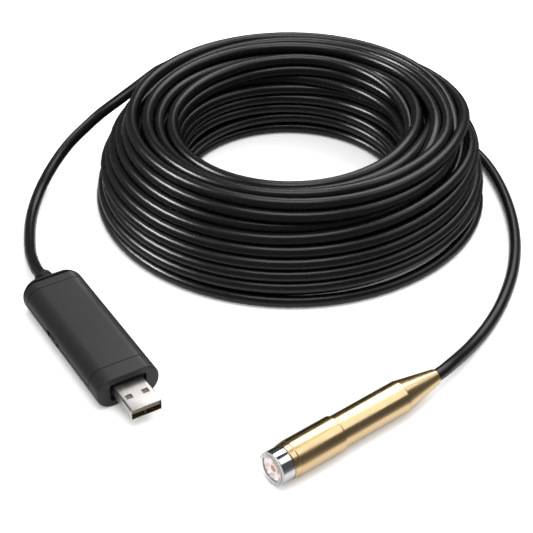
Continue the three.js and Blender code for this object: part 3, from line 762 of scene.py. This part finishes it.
wheel = bmesh.new()
bmesh.ops.create_circle(wheel, cap_ends=True, segments=4 * WHEEL_RIBS, radius=6.4)
wheel.verts.ensure_lookup_table()
for i, vert in enumerate(wheel.verts):
    if i % 4 < 2:
        vert.co *= 6.15 / 6.4
raised = bmesh.ops.extrude_face_region(wheel, geom=wheel.faces[:])
raised_verts = [v for v in raised["geom"] if isinstance(v, bmesh.types.BMVert)]
bmesh.ops.translate(wheel, vec=(0, 0, 1.8), verts=raised_verts)
bmesh.ops.recalc_face_normals(wheel, faces=wheel.faces[:])
pin_hole = bmesh.new()
bmesh.ops.create_cone(
    pin_hole, cap_ends=True, segments=32, radius1=1.35, radius2=1.35, depth=4,
)
bmesh.ops.translate(pin_hole, vec=(0, 0, 0.9), verts=pin_hole.verts[:])
wheel = machined(wheel, [pin_hole])
bmesh.ops.translate(wheel, vec=WHEEL_CENTRE - Vector((0, 0, 0.9)), verts=wheel.verts[:])
piece(
    "brightness_wheel", wheel, HOUSING_PLACE, moulded_black, "dimmer",
    "dimmer_wheel", width=0.08,
)


# ------------------------------------------------------------------ plug
# A full-size USB plug: its shell is folded from nickel-plated strip, with two windows in each
# face and its seam underneath, round a plastic tongue that carries four plated contacts.

plug_shell = machined(bar(-4.75, 14.0, 12.0, 4.5, 0.6, segments=6), [
    bar(-6, 15, 11.4, 3.9, 0.3, segments=4),
    *[block((5.9, 8.1), sorted((side * 1.95, side * 4.45)), (0, 12)) for side in (-1, 1)],
    block((-6, 15), (-0.04, 0.04), (3, 5)),
])
nickel = skin(
    "nickel_plate", (0.74, 0.72, 0.69), (0.26, 0.34), metallic=1, shade=(0.68, 0.66, 0.63),
    grain=300, stretch=(0.6, 1, 1), patch=200, bump=0.000003,
)
plug_shell = piece(
    "plug_shell", plug_shell, HOUSING_PLACE, nickel, "device", "usb_shell",
    width=0.07,
)

tongue = block((-7.3, 13.5), (-5.5, 5.5), (6.15, 8.1))
tongue_plastic = skin("tongue_plastic", (0.13, 0.1, 0.075), (0.4, 0.55), grain=800)
piece(
    "plug_tongue", tongue, HOUSING_PLACE, tongue_plastic, "device",
    "usb_tongue", width=0.15,
)

gold_plate = skin(
    "gold_plate", (0.83, 0.6, 0.22), (0.15, 0.28), metallic=1, stretch=(0.3, 1, 1),
)
dress("usb_contact_1 usb_contact_2 usb_contact_3 usb_contact_4", gold_plate)


# ------------------------------------------------------------------ floor and lights
# A plain white table in a studio: soft light from all round for the table, and a few softboxes
# in dark surroundings for the gloss.

floor_mesh = bpy.data.meshes.new("floor")
floor_bm = bmesh.new()
bmesh.ops.create_grid(floor_bm, x_segments=1, y_segments=1, size=6)
floor_bm.to_mesh(floor_mesh)
floor_bm.free()
floor = bpy.data.objects.new("floor", floor_mesh)
scene.collection.objects.link(floor)


def in_reflection(tree):
    """One where a thing is only seen in a reflection, and nought where it is seen or lights."""
    path = tree.nodes.new("ShaderNodeLightPath")
    mirrored = tree.nodes.new("ShaderNodeMath")
    mirrored.operation = "SUBTRACT"
    mirrored.use_clamp = True
    tree.links.new(path.outputs["Is Glossy Ray"], mirrored.inputs[0])
    tree.links.new(path.outputs["Is Transmission Ray"], mirrored.inputs[1])
    return path, mirrored.outputs["Value"]


def ranged(tree, value, start, end, low, high):
    """The value's range from start to end, carried over to low and high."""
    node = tree.nodes.new("ShaderNodeMapRange")
    node.inputs["From Min"].default_value = start
    node.inputs["From Max"].default_value = end
    node.inputs["To Min"].default_value = low
    node.inputs["To Max"].default_value = high
    tree.links.new(value, node.inputs["Value"])
    return node


floor_paint = bpy.data.materials.new("floor_paint")
floor_paint.use_nodes = True
floor_tree = floor_paint.node_tree
floor_shader = floor_tree.nodes["Principled BSDF"]
floor_shader.inputs["Roughness"].default_value = 0.9
floor_shader.inputs["Specular IOR Level"].default_value = 0.1
floor_shader.inputs["Emission Color"].default_value = (1, 1, 1, 1)
# Painted dark reflection: where the floor is seen in a reflection, its colour drops from 0.6 near the
# layout to 0.1 further off, so all but the nearest floor stays out of the gloss.
path, mirrored = in_reflection(floor_tree)
painted_reflection_tone = ranged(floor_tree, path.outputs["Ray Length"], 0.015, 0.04, 0.6, 0.1)
floor_tone = ranged(floor_tree, mirrored, 0, 1, 0.92, 0.1)
floor_tree.links.new(painted_reflection_tone.outputs["Result"], floor_tone.inputs["To Max"])
floor_tree.links.new(floor_tone.outputs["Result"], floor_shader.inputs["Base Color"])
floor_glow = ranged(floor_tree, mirrored, 0, 1, 0.1, 0)
floor_tree.links.new(floor_glow.outputs["Result"], floor_shader.inputs["Emission Strength"])
floor_mesh.materials.append(floor_paint)

world = bpy.data.worlds.new("studio")
world.use_nodes = True
sky = world.node_tree.nodes["Background"]
sky.inputs["Color"].default_value = (1, 1, 1, 1)
sky_tone = ranged(world.node_tree, in_reflection(world.node_tree)[1], 0, 1, 1.15, 0.1)
world.node_tree.links.new(sky_tone.outputs["Result"], sky.inputs["Strength"])
scene.world = world


def softbox(name, bearing, height, size, power, reach=1.0, aim=(-0.04, -0.09, 0.01), only=()):
    """A rectangular lamp at that bearing and height in degrees, aimed at the layout."""
    data = bpy.data.lights.new(name, "AREA")
    data.shape = "RECTANGLE"
    data.size, data.size_y = size
    data.energy = power
    lamp = bpy.data.objects.new(name, data)
    flat = reach * cos(radians(height))
    away = Vector((flat * cos(radians(bearing)), flat * sin(radians(bearing)),
                   reach * sin(radians(height))))
    lamp.location = Vector(aim) + away
    lamp.rotation_euler = (-away).to_track_quat("-Z", "Y").to_euler()
    scene.collection.objects.link(lamp)
    if only:
        lit = bpy.data.collections.new(f"lit_by_{name}")
        for thing in only:
            lit.objects.link(thing)
        lamp.light_linking.receiver_collection = lit


# Light linking keeps the key off all but the cable, and the back lights off all but the housing and the
# plug.
softbox("strip_left", 208, 49, (0.76, 0.6), 5.2, reach=1.08)
softbox("strip_right", 148, 49, (0.9, 0.6), 2.3, reach=1.08)
softbox("top_box", 50, 82, (0.6, 0.6), 4.2)
softbox("key_box", -42, 36, (0.36, 0.26), 10.5, only=[cable])
softbox("back_box", 219, 20, (0.42, 0.22), 2.6, only=housing_shells)
softbox("plug_box", 231, 37, (0.6, 0.5), 0.5, only=[plug_shell])
scene.view_settings.view_transform = "Standard"
